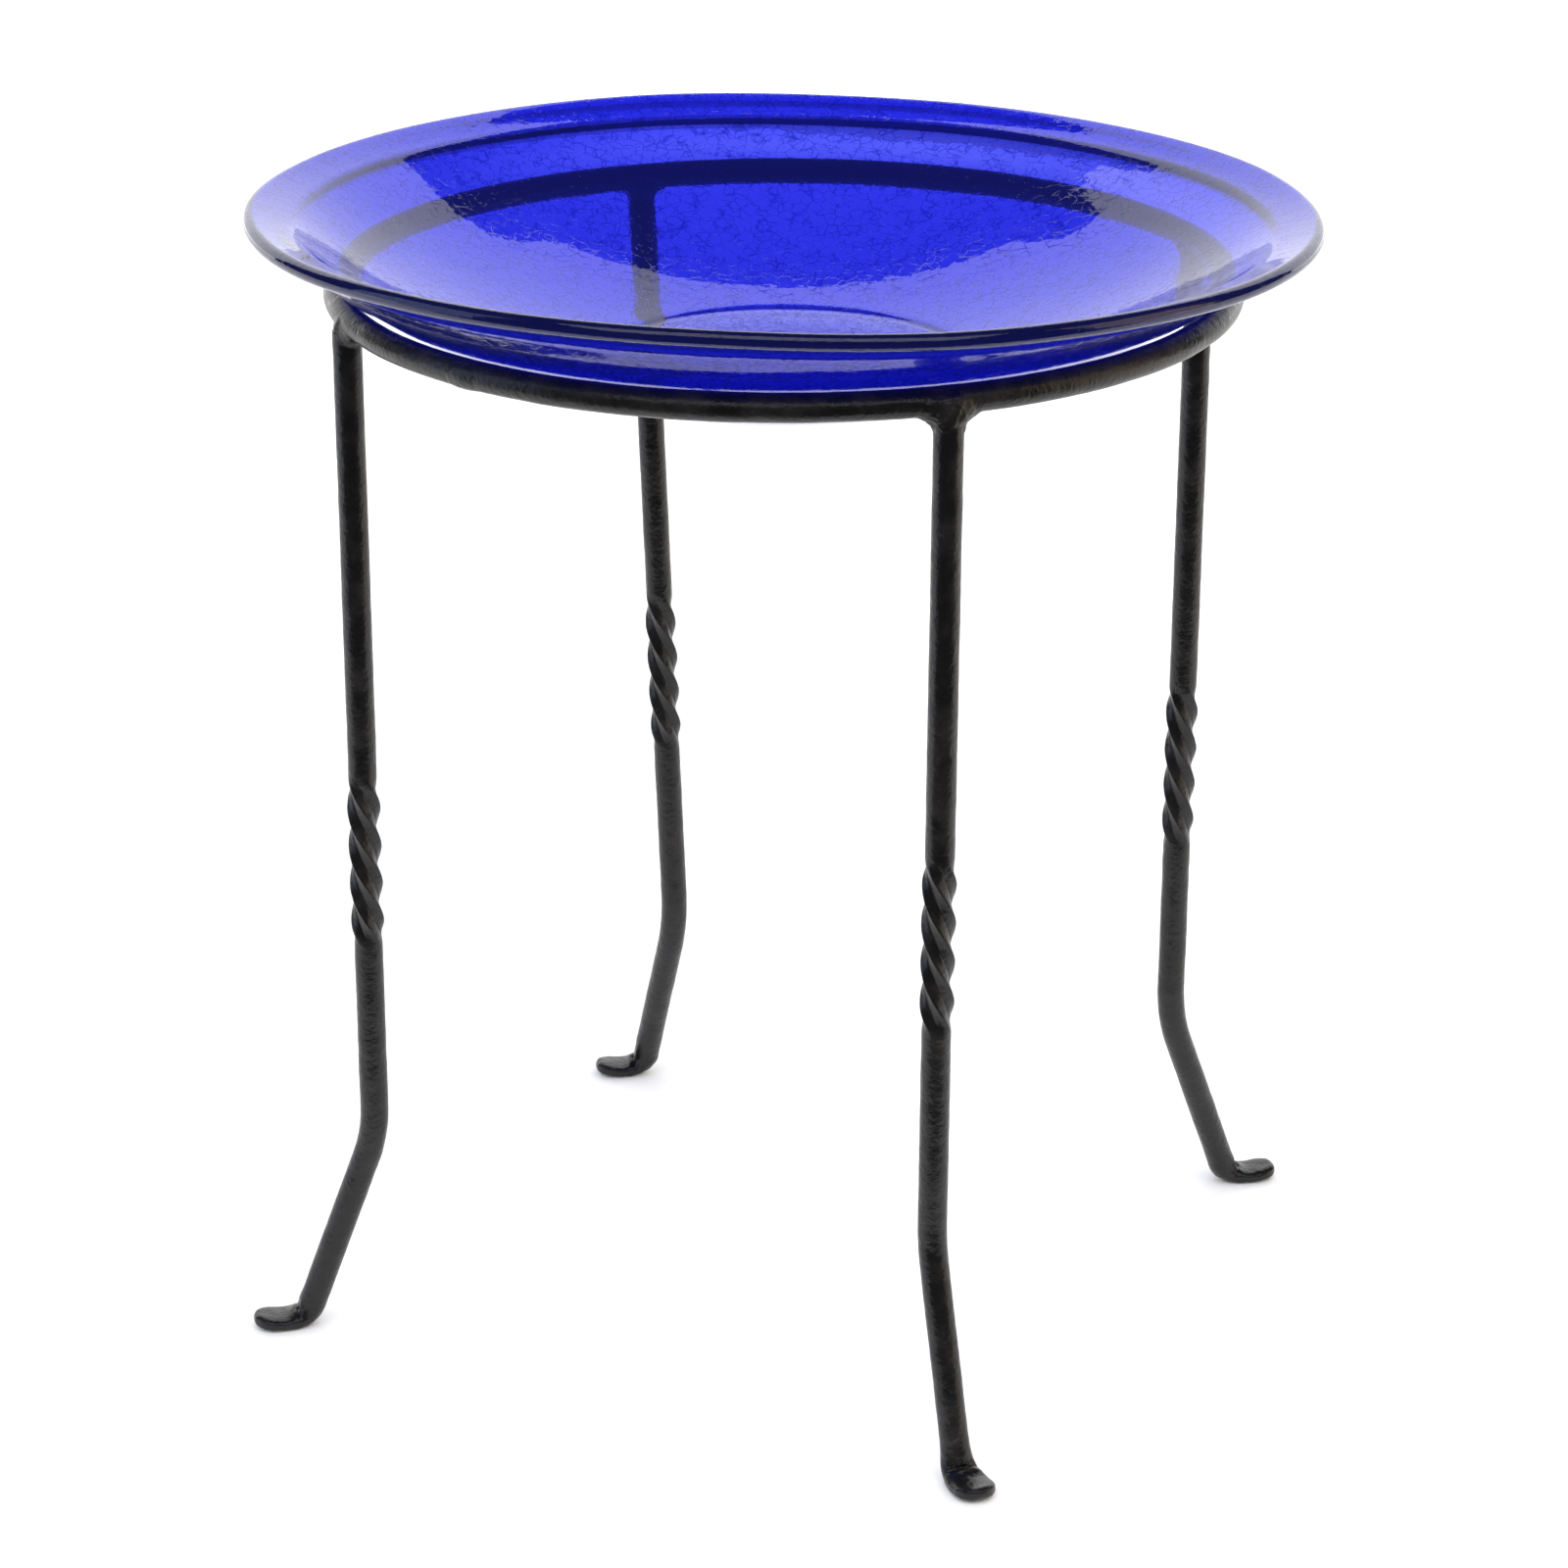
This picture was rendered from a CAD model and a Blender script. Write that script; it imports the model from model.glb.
"""Bird bath: a blown cobalt glass bowl resting in a forged ring stand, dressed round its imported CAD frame."""

import math

import bmesh
import bpy
import numpy as np
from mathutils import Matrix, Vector, noise


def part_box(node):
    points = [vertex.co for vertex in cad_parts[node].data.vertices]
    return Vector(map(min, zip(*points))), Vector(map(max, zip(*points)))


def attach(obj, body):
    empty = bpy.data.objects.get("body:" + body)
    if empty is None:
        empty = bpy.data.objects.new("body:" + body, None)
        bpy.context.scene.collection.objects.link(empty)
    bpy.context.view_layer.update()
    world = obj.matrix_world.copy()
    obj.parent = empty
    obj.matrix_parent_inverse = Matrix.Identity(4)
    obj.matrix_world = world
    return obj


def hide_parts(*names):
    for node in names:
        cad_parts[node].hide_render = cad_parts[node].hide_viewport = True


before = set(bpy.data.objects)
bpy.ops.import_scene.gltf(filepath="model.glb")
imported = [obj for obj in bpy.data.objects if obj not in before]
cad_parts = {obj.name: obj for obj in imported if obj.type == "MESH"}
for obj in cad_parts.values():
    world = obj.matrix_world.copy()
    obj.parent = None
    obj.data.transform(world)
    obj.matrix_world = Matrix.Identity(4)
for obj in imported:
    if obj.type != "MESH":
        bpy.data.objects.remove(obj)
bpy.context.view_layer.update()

# Lengths are written in millimetres and turned to metres by MM where a mesh or a texture is made
MM = 0.001

# Taken from the frame: the ring bar's section, its middle line, and the bowl's rim and base
ring_low, ring_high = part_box("top_ring")
bowl_low, bowl_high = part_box("glass_bowl")
BAR = (ring_high.z - ring_low.z) / MM
RING_R = ring_high.x / MM - BAR / 2
RING_Z = (ring_high.z + ring_low.z) / 2 / MM
RIM_R = bowl_high.x / MM
RIM_TOP = bowl_high.z / MM
BASE_Z = bowl_low.z / MM

# The bowl's own dimensions
DISH_RADIUS = 262.0
WALL = 4.6
OUTER_RADIUS = DISH_RADIUS + WALL
SEAT_GAP = 0.3
DOME_Z = RING_Z + math.sqrt((OUTER_RADIUS + SEAT_GAP + BAR / 2) ** 2 - RING_R**2)
CREASE_R = 161.8
BEAD = 2.75
BASE_R = 65.0
BASE_STEP = 1.3
BASE_STEP_RUN = 2.6
# The middle of the base is closed by a small fan of this radius, above and below
FAN_R = 1.5
BOWL_COLUMNS = 460

# How the hot glass settled: the rim leans by these slopes, waves, and stands up at the back. The wall's
# outside keeps its true shape up to the seat, but for one dimple at the front left
LEAN = (-0.0006, -0.0262)
SEAT_CLEAR_R = 148.0
BACK_TURN = 1.9
DIMPLE_TURN = -124.0
DIMPLE_DEPTH = 0.9

# The legs, by angle round the ring. Each is worked by hand, so it sits a little out of true: its top to
# the side, the middle of its twist up, its bend and its heel outward and to the side, its toe turned
# from straight outward. weld is how rough its weld was left, from 0 to 1
LEGS = {
    "front_right": (
        315.0,
        {"top": 0.4, "twist": 4.0, "bend": (0.3, -0.8), "heel": (-4.0, 0.3), "toe": 5.0, "weld": 1.0},
    ),
    "front_left": (
        225.0,
        {"top": -1.2, "twist": -1.5, "bend": (2.2, 2.4), "heel": (-2.1, -10.7), "toe": -6.0, "weld": 0.25},
    ),
    "back_left": (
        135.0,
        {"top": 1.8, "twist": -0.5, "bend": (-3.6, -7.7), "heel": (1.7, -5.0), "toe": 80.0, "weld": 0.5},
    ),
    "back_right": (
        45.0,
        {"top": -3.5, "twist": -4.0, "bend": (1.1, -1.3), "heel": (3.6, 10.3), "toe": -8.0, "weld": 0.5},
    ),
}
LEG_TOP_R = RING_R + 1.6
LEG_TOP_Z = RING_Z - 3.2
BEND_R = RING_R - 0.9
BEND_Z = 74.6
BEND_RADIUS = 55.0
HEEL_R = BEND_R + 27.3
HEEL_RADIUS = 8.0
TOE_REACH = 18.5
TOE_LIFT = 1.3
PAD_THICK = 4.2
PAD_WIDE = 14.0
TWIST_Z = 176.0
TWIST_LENGTH = 60.0
TWIST_BLEND = 8.0
TWIST_SIDE = 8.3
TWIST_TURN = -400.0
TWIST_SHARPNESS = 14
TWIST_FOLD = 0.5
LEG_SIDES = 80

RING_STEPS = 960
RING_SIDES = 60
RING_WELD_ANGLE = 254.0
RING_WELD_SPREAD = 7.0
RING_WELD_STEPS = 56
RING_WELD_SIDES = 72

# The camera: where it stands round the bird bath, and how its lens is set
CAMERA_TURN = -64.618
CAMERA_RISE = 20.743
CAMERA_DISTANCE = 1.700
CAMERA_ROLL = 0.071
CAMERA_LENS = 113.36
AIM = Vector((0.0002, 0.0001, 0.1823))

# The floor ends this far in front of the ring's axis, in metres
FLOOR_EDGE = 0.33


def linear(code):
    """An sRGB hex colour as linear values with alpha."""
    parts = [int(code[i : i + 2], 16) / 255 for i in (1, 3, 5)]
    return tuple(c / 12.92 if c < 0.04045 else ((c + 0.055) / 1.055) ** 2.4 for c in parts) + (1.0,)


def ease(low, high, value):
    """0 below low, 1 above high, smooth between."""
    t = np.clip((value - low) / (high - low), 0, 1)
    return t * t * (3 - 2 * t)


def lumps(points, size, seed):
    """Smooth noise from -1 to 1 at each point, with lumps of about this size."""
    shift = Vector((seed * 17.3, seed * 5.1, seed * 9.7))
    return np.array([noise.noise(Vector(p) / size + shift) for p in points.tolist()])


def solid(name, points, quads, fans):
    """A smooth closed piece from points in millimetres, its faces turned outward."""
    volume = 0
    for corners in (quads[:, [0, 1, 2]], quads[:, [0, 2, 3]], fans):
        a, b, c = (points[corners[:, k]] for k in range(3))
        volume += np.einsum("ij,ij->", a, np.cross(b, c))
    if volume < 0:
        quads, fans = quads[:, ::-1], fans[:, ::-1]
    mesh = bpy.data.meshes.new(name)
    mesh.from_pydata((points * MM).tolist(), [], quads.tolist() + fans.tolist())
    mesh.shade_smooth()
    piece = bpy.data.objects.new(name, mesh)
    bpy.context.scene.collection.objects.link(piece)
    return piece


def skin(name, rings, close_ends=True):
    """A closed skin over rings of points (ring, point, coordinate), capped at both ends or joined."""
    count, around = rings.shape[:2]
    points = rings.reshape(-1, 3)
    start = np.arange(count - 1 if close_ends else count)[:, None] * around
    j = np.arange(around)[None, :]
    k = (j + 1) % around
    after = (start + around) % (count * around)
    quads = np.stack([start + j, start + k, after + k, after + j], -1).reshape(-1, 4)
    fans = np.zeros((0, 3), int)
    if close_ends:
        ends = np.stack([rings[0].mean(0), rings[-1].mean(0)])
        first, last = len(points), len(points) + 1
        points = np.concatenate([points, ends])
        j, k = j[0], k[0]
        foot = np.stack([np.full(around, first), k, j], -1)
        head = (count - 1) * around
        fans = np.concatenate([foot, np.stack([np.full(around, last), head + j, head + k], -1)])
    return solid(name, points, quads, fans)


def dome(radius, r):
    """Height of a sphere about the bowl's centre of curvature, at r from the axis."""
    return DOME_Z - math.sqrt(radius**2 - r**2)


def run(start, end, step):
    """Points of a straight line in the bowl's section."""
    count = max(2, int(math.dist(start, end) / step) + 1)
    return np.linspace(start, end, count)


def dome_run(radius, start, end, step):
    """Points of the bowl's round wall between two distances from the axis."""
    count = max(2, int(abs(end - start) / step) + 1)
    return np.array([(r, dome(radius, r)) for r in np.linspace(start, end, count)])


def soften(before, after, length, count=9):
    """Joins two runs of a section with a round corner that takes this length from each."""
    corner = before[-1]
    before = before[np.linalg.norm(before - corner, axis=1) > length]
    after = after[np.linalg.norm(after - corner, axis=1) > length]
    t = np.linspace(0, 1, count)[1:-1, None]
    bend = (1 - t) ** 2 * before[-1] + 2 * t * (1 - t) * corner + t**2 * after[0]
    return np.concatenate([before, bend, after])


def bowl_section():
    """The bowl's section from the axis along the inside, round the rim bead and back under to the axis."""
    crease = np.array([CREASE_R, dome(DISH_RADIUS, CREASE_R)])
    bead = np.array([RIM_R - BEAD, RIM_TOP - BEAD])
    rise = bead - crease
    slope = math.atan2(rise[1], rise[0]) + math.asin(BEAD / math.hypot(*rise))
    up = np.array([-math.sin(slope), math.cos(slope)])
    bead_top = bead + up * BEAD
    floor = dome(DISH_RADIUS, BASE_R) - BASE_STEP
    step_foot = (BASE_R - BASE_STEP_RUN, floor)
    step_top = (BASE_R, floor + BASE_STEP)
    inside = soften(run((FAN_R, floor), step_foot, 3.5), run(step_foot, step_top, 0.35), 1.1, 7)
    inside = soften(inside, dome_run(DISH_RADIUS, BASE_R, CREASE_R, 1.9), 1.1, 7)
    inside = soften(inside, run(crease, bead_top, 0.8), 1.8, 11)

    angles = slope + np.radians(np.linspace(90, -90, 19)[1:-1])
    edge = bead + BEAD * np.stack([np.cos(angles), np.sin(angles)], -1)
    under = bead - up * BEAD
    under_crease = np.array([CREASE_R + 0.5, dome(OUTER_RADIUS, CREASE_R + 0.5)])
    outside = run(under, under_crease, 0.8)
    wall = dome_run(OUTER_RADIUS, under_crease[0], BASE_R, 2.0)
    outside = soften(outside, wall, 1.0, 9)
    outside = soften(outside, run((BASE_R, BASE_Z), (FAN_R, BASE_Z), 4.0), 1.6, 7)
    return np.concatenate([inside, edge, outside]), len(inside)


def settle(points, inner):
    """Moves the bowl's points as hot glass settles: the rim leans and waves, and the wall rolls slightly."""
    x, y, z = points.T
    r = np.hypot(x, y)
    turn = np.arctan2(y, x)
    lean = LEAN[0] * x + LEAN[1] * y
    moved = points.copy()
    moved[:, 2] += lean * np.where(inner, ease(130, 168, r), ease(SEAT_CLEAR_R, 172, r))
    dimple = np.exp(-(((np.degrees(turn) - DIMPLE_TURN) / 5) ** 2) - ((r - 146) / 10) ** 2)
    moved[:, 2] += np.where(inner, 0.0, DIMPLE_DEPTH * dimple)
    rim = ease(SEAT_CLEAR_R, RIM_R, r)
    wave = (
        0.8 * np.cos(2 * (turn - 1.85))
        + 0.35 * np.sin(3 * turn + 0.6)
        + 0.22 * np.sin(5 * turn + 2.0)
        + 0.12 * np.sin(9 * turn)
    )
    moved[:, 2] += wave * rim
    back = (0.5 + 0.5 * np.cos(turn - BACK_TURN)) ** 2
    moved[:, 2] += back * (0.9 * ease(163, 176, r) - 0.6 * np.exp(-(((r - 162) / 8) ** 2)))
    roll = 0.10 * lumps(points, 42, 1) + 0.035 * lumps(points, 15, 2)
    free = np.where(inner, 1.0, 0.35 + 0.65 * ease(SEAT_CLEAR_R, 155, r))
    moved[:, 2] += roll * free * ease(2, 20, r)
    moved[:, 2] = np.where(inner, moved[:, 2], np.maximum(moved[:, 2], BASE_Z))
    return moved


def glass_bowl():
    """The bowl, spun from its section and then settled."""
    section, inside = bowl_section()
    turns = np.radians(np.arange(BOWL_COLUMNS) * 360 / BOWL_COLUMNS)
    around = np.stack([np.cos(turns), np.sin(turns)], -1)
    rings = np.zeros((len(section), len(turns), 3))
    rings[..., :2] = section[:, None, :1] * around[None]
    rings[..., 2] = section[:, None, 1]
    inner = np.repeat(np.arange(len(section)) < inside, len(turns))
    settled = settle(rings.reshape(-1, 3), inner)
    return skin("Bowl_blown_glass", settled.reshape(rings.shape))


def bar_ring(angles, radius, section_angles):
    """Rings of points of a bar bent round the ring's middle line, with its radius at each angle and side."""
    out = np.stack([np.cos(angles), np.sin(angles), np.zeros_like(angles)], -1)
    rings = np.zeros((len(angles), len(section_angles), 3))
    rings += out[:, None, :] * (RING_R + radius * np.cos(section_angles)[None])[..., None]
    rings[..., 2] += RING_Z + radius * np.sin(section_angles)[None]
    return rings


def top_ring():
    """The rolled ring bar, dressed with a hammer: its dents only take metal away, so the bowl stays clear."""
    angles = np.radians(np.arange(RING_STEPS) * 360 / RING_STEPS)
    sides = np.radians(np.arange(RING_SIDES) * 360 / RING_SIDES)
    shape = (RING_STEPS, RING_SIDES)
    plain = bar_ring(angles, np.full(shape, BAR / 2), sides).reshape(-1, 3)
    dents = 0.10 * (1 + lumps(plain, 13, 3)) + 0.035 * (1 + lumps(plain, 4.5, 4))
    radius = BAR / 2 - dents.reshape(shape)
    return skin("Ring_bar", bar_ring(angles, radius, sides), close_ends=False)


def ring_weld():
    """The butt weld that closes the ring: a low rippled bead, dressed flush on the bowl's side."""
    steps = np.linspace(-1, 1, RING_WELD_STEPS)
    sides = np.radians(np.arange(RING_WELD_SIDES) * 360 / RING_WELD_SIDES)
    angles = math.radians(RING_WELD_ANGLE) + steps * RING_WELD_SPREAD / RING_R
    seat = math.atan2(DOME_Z - RING_Z, -RING_R)
    away = 0.5 - 0.5 * np.cos(sides - seat)
    crown = (1 - steps**2)[:, None] * (0.25 + 0.75 * ease(0.15, 0.6, away))[None]
    plain = bar_ring(angles, np.full(crown.shape, BAR / 2), sides).reshape(-1, 3)
    ripple = lumps(plain, 2.6, 5).reshape(crown.shape)
    radius = BAR / 2 - 0.35 + 0.6 * crown + 0.2 * ripple * crown
    return skin("Ring_butt_weld", bar_ring(angles, radius, sides))


def turned(points, degrees):
    """Points turned about the upright axis."""
    a = math.radians(degrees)
    spin = np.array([[math.cos(a), math.sin(a), 0], [-math.sin(a), math.cos(a), 0], [0, 0, 1]])
    return points @ spin


def bent_line(corners, radii, step):
    """Points along a bar's middle line: straight between the corners, with a round bend of each radius."""
    corners = [np.array(c, float) for c in corners]
    points = [corners[0]]
    for before, corner, after, radius in zip(corners, corners[1:], corners[2:], radii):
        into = (corner - before) / np.linalg.norm(corner - before)
        away = (after - corner) / np.linalg.norm(after - corner)
        half = math.acos(np.clip(into @ away, -1, 1)) / 2
        setback = radius * math.tan(half)
        inward = away - into
        centre = corner + inward / np.linalg.norm(inward) * radius / math.cos(half)
        start = corner - into * setback
        spoke = (start - centre) / radius
        for angle in np.linspace(0, 2 * half, max(3, int(2 * half * radius / step) + 1)):
            points.append(centre + radius * (spoke * math.cos(angle) + into * math.sin(angle)))
    points.append(corners[-1])
    dense = [points[0][None]]
    for a, b in zip(points, points[1:]):
        count = max(1, round(np.linalg.norm(b - a) / step))
        dense.append(a + (b - a) * np.linspace(0, 1, count + 1)[1:, None])
    return np.concatenate(dense)


def leg_line(hand):
    """A leg's middle line from the tip of its toe to its top, in the leg's own frame: X outward, Z up."""
    turn = math.radians(hand["toe"])
    toe = np.array([math.cos(turn), math.sin(turn), 0])
    heel = np.array([HEEL_R + hand["heel"][0], hand["heel"][1], PAD_THICK / 2])
    bend = (BEND_R + hand["bend"][0], hand["bend"][1], BEND_Z)
    tip = heel + toe * TOE_REACH + np.array([0, 0, TOE_LIFT])
    corners = [tip, heel + toe * 9.5, heel, bend, (LEG_TOP_R, hand["top"], LEG_TOP_Z)]
    return bent_line(corners, (20, HEEL_RADIUS, BEND_RADIUS), 0.5)


def leg(name, angle, hand):
    """One leg, drawn down from the round bar: a twisted square length above, a hammered foot below."""
    line = leg_line(hand)
    tip = line[0] + (line[1] - line[0]) * np.array([0.02, 0.15, 0.4])[:, None]
    line = np.concatenate([tip, line[1:]])
    ahead = np.gradient(line, axis=0)
    ahead /= np.linalg.norm(ahead, axis=1)[:, None]
    toe = math.radians(hand["toe"])
    square_on = np.array([-math.sin(toe), math.cos(toe), 0])
    side = square_on - ahead * (ahead @ square_on)[:, None]
    side /= np.linalg.norm(side, axis=1)[:, None]
    face = np.cross(ahead, side)
    travel = np.concatenate([[0.1], 0.1 + np.cumsum(np.linalg.norm(np.diff(line, axis=0), axis=1))])

    # Half sizes of the section across the foot and through it, from the tip of the toe
    bar = BAR / 2
    nose = np.clip(1 - travel / (PAD_WIDE / 2), 0, 1)
    spread = PAD_WIDE / 2 * np.sqrt(np.maximum(1 - nose**2, 0.002))
    across = spread + (bar - spread) * ease(9, 30, travel)
    thin = PAD_THICK / 2 * np.sqrt(np.maximum(1 - np.clip(1 - travel / 2.2, 0, 1) ** 2, 0.01))
    through = thin + (bar - thin) * ease(10, 24, travel)
    squareness = 2 + 1.6 * (1 - ease(9, 20, travel))

    # The twist: a square with folded faces, turning as it climbs
    z = line[:, 2]
    low = TWIST_Z + hand["twist"] - TWIST_LENGTH / 2
    high = low + TWIST_LENGTH
    turn = math.radians(TWIST_TURN) * np.clip((z - low) / (high - low), 0, 1)
    square = ease(low - 1, low + TWIST_BLEND, z) * (1 - ease(high - TWIST_BLEND, high + 1, z))
    angles = np.radians(np.arange(LEG_SIDES) * 360 / LEG_SIDES)
    c, s = np.cos(angles), np.sin(angles)
    sharp = TWIST_SHARPNESS
    flat = TWIST_SIDE / 2 / (np.abs(c) ** sharp + np.abs(s) ** sharp) ** (1 / sharp)
    off_face = np.abs((angles + math.pi / 4) % (math.pi / 2) - math.pi / 4)
    folded = flat - TWIST_FOLD * np.exp(-off_face / math.radians(9))
    reach = bar + (folded - bar)[None] * square[:, None]
    spun = angles[None] + turn[:, None]
    u, v = np.cos(spun), np.sin(spun)
    power = (2 / squareness)[:, None]
    u, v = np.sign(u) * np.abs(u) ** power, np.sign(v) * np.abs(v) ** power
    u *= reach * (across / bar)[:, None]
    v *= reach * (through / bar)[:, None]
    rings = line[:, None] + side[:, None] * u[..., None] + face[:, None] * v[..., None]

    def every_side(values):
        """A value of each ring, repeated for its points."""
        return np.repeat(values, LEG_SIDES, axis=0)

    # Hammer marks: soft along the bar, deeper on the foot, with a lapped fold inside the heel
    points = rings.reshape(-1, 3)
    out = points - every_side(line)
    out /= np.maximum(np.linalg.norm(out, axis=1), 1e-6)[:, None]
    seed = angle / 10
    on_foot = every_side(1 - ease(22, 36, travel))
    strength = 0.10 + 0.22 * on_foot
    marks = strength * lumps(points, 8, seed) + (0.05 + 0.07 * on_foot) * lumps(points, 3, seed + 1)
    heel = every_side(np.exp(-(((travel - 16.5) / 3.2) ** 2)))
    inner = np.clip(-(out * every_side(face)).sum(1), 0, 1)
    lump = every_side(np.exp(-(((travel - 14.0) / 2.0) ** 2))) * 0.9
    fold = -every_side(np.exp(-(((travel - 17.2) / 0.9) ** 2))) * 1.1
    marks += inner * (lump + fold) + heel * inner * 0.8 * lumps(points, 3.4, seed + 2)
    marks *= every_side(ease(0, 3, travel))
    points = points + out * marks[:, None]
    points[:, 2] = np.maximum(points[:, 2], 0)
    return skin("Leg_" + name, turned(points, angle).reshape(rings.shape))


def leg_weld(name, angle, hand):
    """The fillet weld that flows from a leg's top onto the ring, seen where it stands proud of both."""
    ball = bmesh.new()
    bmesh.ops.create_icosphere(ball, subdivisions=6, radius=1)
    ways = np.array([v.co for v in ball.verts])
    faces = np.array([[v.index for v in f.verts] for f in ball.faces])
    ball.free()
    centre = np.array([RING_R + 0.8, hand["top"], RING_Z - 2.2])
    top = np.array([LEG_TOP_R, hand["top"], RING_Z - 5.6])
    low = np.array([BEND_R + hand["bend"][0], hand["bend"][1], BEND_Z])
    down = (low - top) / np.linalg.norm(low - top)
    seat = np.array([-RING_R, 0, DOME_Z - RING_Z]) / math.dist((0, 0), (RING_R, DOME_Z - RING_Z))
    seed = angle / 7
    swell = (0.55 + 0.45 * hand["weld"]) * (8.5 + 2.0 * lumps(ways, 0.9, seed))

    def depth(points):
        """Distance outside the two bars and the weld that joins them, below 0 inside."""
        around = np.hypot(points[:, 0], points[:, 1]) - RING_R
        ring = np.hypot(around, points[:, 2] - RING_Z) - BAR / 2
        rest = points - top
        along = np.clip(rest @ down, 0, None)
        bar = np.linalg.norm(rest - along[:, None] * down, axis=1) - BAR / 2
        near = np.clip(swell - np.abs(ring - bar), 0, None) / swell
        return np.minimum(ring, bar) - near**2 * swell / 4, near

    def sunk(points):
        """How far the weld's skin is pulled in: it dives under both bars at its edge and clears the bowl."""
        offset = points - np.array([RING_R, 0, RING_Z])
        toward = (offset @ seat) / np.maximum(np.linalg.norm(offset, axis=1), 1e-6)
        return 0.28 + 1.6 * ease(0.1, 0.75, toward)

    reach = np.full(len(ways), 0.5)
    far = 14.5 - 1.0 * np.abs(ways[:, 2])
    for _ in range(70):
        points = centre + ways * reach[:, None]
        gap, near = depth(points)
        left = -(gap + sunk(points))
        reach = np.clip(reach + 0.55 * left, 0.3, far)
    points = centre + ways * reach[:, None]
    gap, near = depth(points)
    ripple = hand["weld"] * (0.5 * lumps(points, 3.2, seed + 3) + 0.22 * lumps(points, 1.5, seed + 4))
    points = points + ways * (ripple * ease(0.15, 0.5, near) * ease(-0.6, 0.0, gap + 0.28))[:, None]
    no_quads = np.zeros((0, 4), int)
    return solid("Leg_weld_" + name, turned(points, angle), no_quads, faces)


def add(tree, kind, inputs=None, **settings):
    """Adds a shader node with its settings, and gives each named input a value or a link."""
    made = tree.nodes.new(kind)
    for key, value in settings.items():
        setattr(made, key, value)
    for key, value in (inputs or {}).items():
        if isinstance(value, bpy.types.NodeSocket):
            tree.links.new(value, made.inputs[key])
        else:
            made.inputs[key].default_value = value
    return made


def new_material(name):
    """An empty node material and its tree."""
    material = bpy.data.materials.new(name)
    material.use_nodes = True
    material.node_tree.nodes.clear()
    return material, material.node_tree


def per(size_mm):
    """A texture scale that repeats once in this many millimetres."""
    return 1 / (size_mm * MM)


def blown_cobalt_glass():
    """Cobalt glass, blown and crackled in water, then fire-polished.

    The colour is in the glass, so two walls look nearly black and the thin lip bright. The crackle shows as short
    dark threads about 4 mm apart, and the light that it scatters inside the glass as a very faint blue glow. The
    skin rolls slightly in the reflections.
    """
    material, tree = new_material("blown_cobalt_glass")
    place = add(tree, "ShaderNodeTexCoord").outputs["Object"]
    bend = add(tree, "ShaderNodeTexNoise", {"Vector": place, "Scale": per(4), "Detail": 3.0})
    bent = add(
        tree,
        "ShaderNodeVectorMath",
        {0: bend.outputs["Color"], 1: (0.002, 0.002, 0.002), 2: place},
        operation="MULTIPLY_ADD",
    ).outputs["Vector"]
    net = add(
        tree,
        "ShaderNodeTexVoronoi",
        {"Vector": bent, "Scale": per(4.2), "Randomness": 1.0},
        feature="DISTANCE_TO_EDGE",
    ).outputs["Distance"]
    broken = add(tree, "ShaderNodeTexNoise", {"Vector": place, "Scale": per(6), "Detail": 2.0})
    width = add(
        tree,
        "ShaderNodeMapRange",
        {"Value": broken.outputs["Fac"], "From Min": 0.42, "From Max": 0.66, "To Min": 0.0, "To Max": 0.12},
    ).outputs["Result"]
    thread = add(
        tree,
        "ShaderNodeMapRange",
        {"Value": net, "From Min": 0.0, "From Max": width, "To Min": 1.0, "To Max": 0.0},
    ).outputs["Result"]
    tint = add(
        tree,
        "ShaderNodeMix",
        {0: thread, 6: linear("#FFFFFF"), 7: linear("#585FB8")},
        data_type="RGBA",
    ).outputs[2]
    skin_roll = add(tree, "ShaderNodeTexNoise", {"Vector": place, "Scale": per(11), "Detail": 3.0})
    roll = add(
        tree,
        "ShaderNodeBump",
        {"Height": skin_roll.outputs["Fac"], "Strength": 0.5, "Distance": 0.16 * MM},
    ).outputs["Normal"]
    crack = add(
        tree,
        "ShaderNodeBump",
        {"Height": thread, "Strength": 0.25, "Distance": 0.05 * MM, "Normal": roll},
        invert=True,
    ).outputs["Normal"]
    glass = add(
        tree,
        "ShaderNodeBsdfPrincipled",
        {
            "Base Color": tint,
            "Transmission Weight": 1.0,
            "IOR": 1.52,
            "Roughness": 0.015,
            "Emission Color": linear("#4050FF"),
            "Emission Strength": 0.05,
            "Normal": crack,
        },
    )
    depth = add(
        tree,
        "ShaderNodeVolumeAbsorption",
        {"Color": (0.0, 0.06, 0.855, 1.0), "Density": 760.0},
    )
    add(
        tree,
        "ShaderNodeOutputMaterial",
        {"Surface": glass.outputs["BSDF"], "Volume": depth.outputs["Volume"]},
    )
    return material


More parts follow.
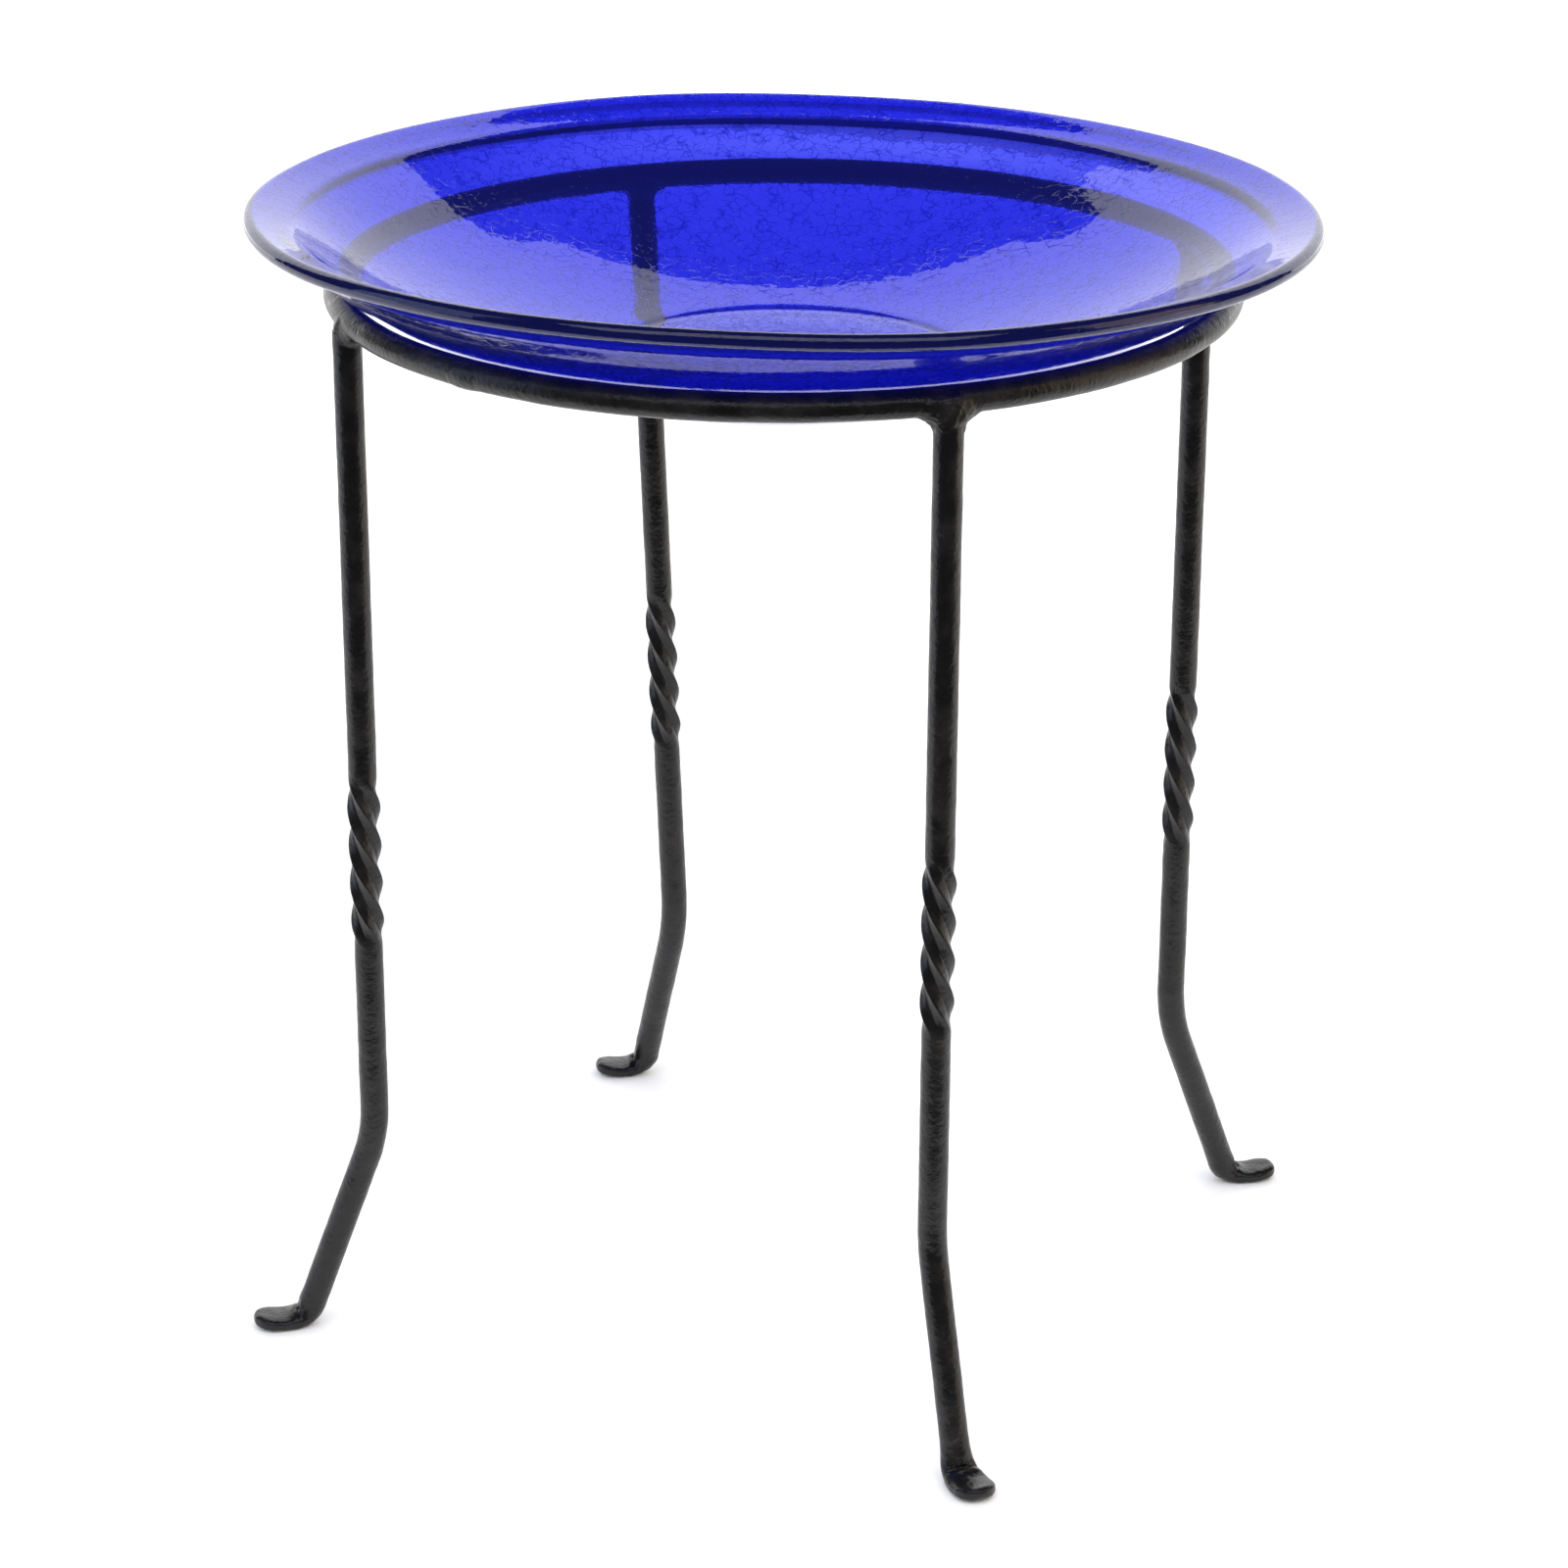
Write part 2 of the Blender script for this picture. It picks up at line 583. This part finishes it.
def satin_powder_coat():
    """Forged mild steel under a baked black powder coat.

    The coat is satin, with a fine orange peel, and it keeps the hammer's soft facets. It is a warm near-black,
    a little lighter and duller where dust and handling have settled.
    """
    material, tree = new_material("satin_black_powder_coat")
    place = add(tree, "ShaderNodeTexCoord").outputs["Object"]
    # Orange peel is about 0.6 mm across, drawn at 1.6 mm so that it shows
    peel = add(tree, "ShaderNodeTexNoise", {"Vector": place, "Scale": per(1.6), "Detail": 2.0}).outputs["Fac"]
    facets = add(tree, "ShaderNodeTexNoise", {"Vector": place, "Scale": per(7), "Detail": 1.0}).outputs["Fac"]
    worn = add(tree, "ShaderNodeTexNoise", {"Vector": place, "Scale": per(11), "Detail": 5.0}).outputs["Fac"]
    dusty = add(
        tree,
        "ShaderNodeMapRange",
        {"Value": worn, "From Min": 0.42, "From Max": 0.72},
        interpolation_type="SMOOTHSTEP",
    ).outputs["Result"]
    colour = add(
        tree,
        "ShaderNodeMix",
        {0: dusty, 6: linear("#0E0D0D"), 7: linear("#1E1B1A")},
        data_type="RGBA",
    ).outputs[2]
    specks = add(
        tree,
        "ShaderNodeTexVoronoi",
        {"Vector": place, "Scale": per(2.2), "Randomness": 1.0},
        feature="F1",
    ).outputs["Distance"]
    speck = add(
        tree,
        "ShaderNodeMapRange",
        {"Value": specks, "From Min": 0.05, "From Max": 0.14, "To Min": 1.0, "To Max": 0.0},
    ).outputs["Result"]
    scattered = add(tree, "ShaderNodeMath", {0: speck, 1: dusty}, operation="MULTIPLY").outputs["Value"]
    speckled = add(
        tree,
        "ShaderNodeMix",
        {0: scattered, 6: colour, 7: linear("#3B3836")},
        data_type="RGBA",
    ).outputs[2]
    rough = add(
        tree,
        "ShaderNodeMapRange",
        {"Value": worn, "From Min": 0.3, "From Max": 0.75, "To Min": 0.25, "To Max": 0.38},
    ).outputs["Result"]
    hammered = add(
        tree,
        "ShaderNodeBump",
        {"Height": facets, "Strength": 0.5, "Distance": 0.6 * MM},
    ).outputs["Normal"]
    peeled = add(
        tree,
        "ShaderNodeBump",
        {"Height": peel, "Strength": 1.0, "Distance": 0.24 * MM, "Normal": hammered},
    ).outputs["Normal"]
    coat = add(
        tree,
        "ShaderNodeBsdfPrincipled",
        {
            "Base Color": speckled,
            "Roughness": rough,
            "IOR": 1.5,
            "Specular IOR Level": 0.4,
            "Normal": peeled,
        },
    )
    add(tree, "ShaderNodeOutputMaterial", {"Surface": coat.outputs["BSDF"]})
    return material


def pale_floor():
    """The studio floor: matt off-white board. It ends a hand's width in front of the legs, as a table
    top does, and that gives their gloss a dark core."""
    a = math.radians(CAMERA_TURN)
    front = Vector((math.cos(a), math.sin(a), 0))
    side = Vector((-math.sin(a), math.cos(a), 0)) * 7.0
    near, far = front * FLOOR_EDGE, front * -7.0
    mesh = bpy.data.meshes.new("Studio_floor")
    mesh.from_pydata([near - side, near + side, far + side, far - side], [], [(0, 1, 2, 3)])
    floor = bpy.data.objects.new("Studio_floor", mesh)
    bpy.context.scene.collection.objects.link(floor)
    material, tree = new_material("matt_white_board")
    board = add(
        tree,
        "ShaderNodeBsdfPrincipled",
        {"Base Color": linear("#F4F4F3"), "Roughness": 0.9, "Specular IOR Level": 0.1},
    )
    add(tree, "ShaderNodeOutputMaterial", {"Surface": board.outputs["BSDF"]})
    mesh.materials.append(material)


def from_aim(turn, rise, distance):
    """A place that far from the aim point, in that direction."""
    a, e = math.radians(turn), math.radians(rise)
    return AIM + distance * Vector((math.cos(a) * math.cos(e), math.sin(a) * math.cos(e), math.sin(e)))


def camera():
    """The camera, aimed at the middle of the bird bath and rolled a little."""
    data = bpy.data.cameras.new("Camera")
    data.lens, data.sensor_width = CAMERA_LENS, 36.0
    seen_from = bpy.data.objects.new("Camera", data)
    bpy.context.scene.collection.objects.link(seen_from)
    seen_from.location = from_aim(CAMERA_TURN, CAMERA_RISE, CAMERA_DISTANCE)
    facing = (AIM - seen_from.location).to_track_quat("-Z", "Y").to_matrix().to_4x4()
    facing.translation = seen_from.location
    seen_from.matrix_world = facing
    seen_from.rotation_euler.rotate_axis("Z", math.radians(CAMERA_ROLL))
    bpy.context.scene.camera = seen_from


def softbox(name, place, aim, size, radiance, colour):
    """A flat studio light that shows in gloss and glass but never stands in the view itself."""
    data = bpy.data.lights.new(name, "AREA")
    data.shape, data.size, data.size_y = "RECTANGLE", size[0], size[1]
    data.energy = radiance * math.pi * size[0] * size[1]
    data.color = linear(colour)[:3]
    light = bpy.data.objects.new(name, data)
    bpy.context.scene.collection.objects.link(light)
    light.location = place
    light.rotation_euler = (Vector(aim) - Vector(place)).to_track_quat("-Z", "Y").to_euler()
    light.visible_camera = False
    light.visible_transmission = False


def studio():
    """A white room with a bright wall behind the bird bath, which ends overhead at a dark ceiling."""
    world = bpy.data.worlds.new("Studio")
    bpy.context.scene.world = world
    world.use_nodes = True
    tree = world.node_tree
    tree.nodes.clear()
    ray = add(tree, "ShaderNodeLightPath").outputs
    mirrored = add(
        tree,
        "ShaderNodeMath",
        {0: ray["Is Glossy Ray"], 1: ray["Is Transmission Ray"]},
        operation="SUBTRACT",
        use_clamp=True,
    ).outputs["Value"]
    light = add(
        tree,
        "ShaderNodeMix",
        {0: mirrored, 6: (1.0, 1.0, 1.0, 1.0), 7: (0.05, 0.05, 0.055, 1.0)},
        data_type="RGBA",
    ).outputs[2]
    room = add(tree, "ShaderNodeBackground", {"Color": light, "Strength": 1.0})
    add(tree, "ShaderNodeOutputWorld", {"Surface": room.outputs["Background"]})

    behind = CAMERA_TURN + 180
    wall = from_aim(behind, 0, 2.4)
    softbox("Wall_light", (wall.x, wall.y, 1.3), (0, 0, 1.3), (6.0, 2.6), 1.5, "#FFFFFF")
    softbox("Wall_light_upper", (wall.x, wall.y, 2.83), (0, 0, 2.83), (2.0, 0.45), 1.5, "#FFFFFF")
    left = from_aim(CAMERA_TURN - 80, 15, 2.0)
    softbox("Left_light", left, AIM, (1.2, 2.0), 1.2, "#C4D4FF")
    right = from_aim(CAMERA_TURN + 80, 15, 2.0)
    softbox("Right_light", right, AIM, (1.2, 2.0), 1.2, "#FFE4C4")
    front = from_aim(CAMERA_TURN, 50, 2.2)
    softbox("Front_light", front, AIM, (3.0, 1.6), 1.5, "#FFFFFF")
    bpy.context.scene.view_settings.view_transform = "Standard"


def place_pieces():
    """Makes each piece, gives it its finish, and hands it to the frame."""
    glass, coat = blown_cobalt_glass(), satin_powder_coat()
    bowl = glass_bowl()
    pieces = [(bowl, "glass_bowl", "bowl", "cobalt_glass", glass)]
    pieces.append((top_ring(), "top_ring", "stand", "black_powder_coat", coat))
    pieces.append((ring_weld(), "ring_weld", "stand", "black_powder_coat", coat))
    for name, (angle, hand) in LEGS.items():
        pieces.append((leg(name, angle, hand), "leg_" + name, "stand", "black_powder_coat", coat))
        weld = leg_weld(name, angle, hand)
        pieces.append((weld, "leg_weld_" + name, "stand", "black_powder_coat", coat))
    for piece, node, body, slot, material in pieces:
        piece.data.materials.append(material)
        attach(piece, body)
        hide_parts(node)


place_pieces()
pale_floor()
camera()
studio()
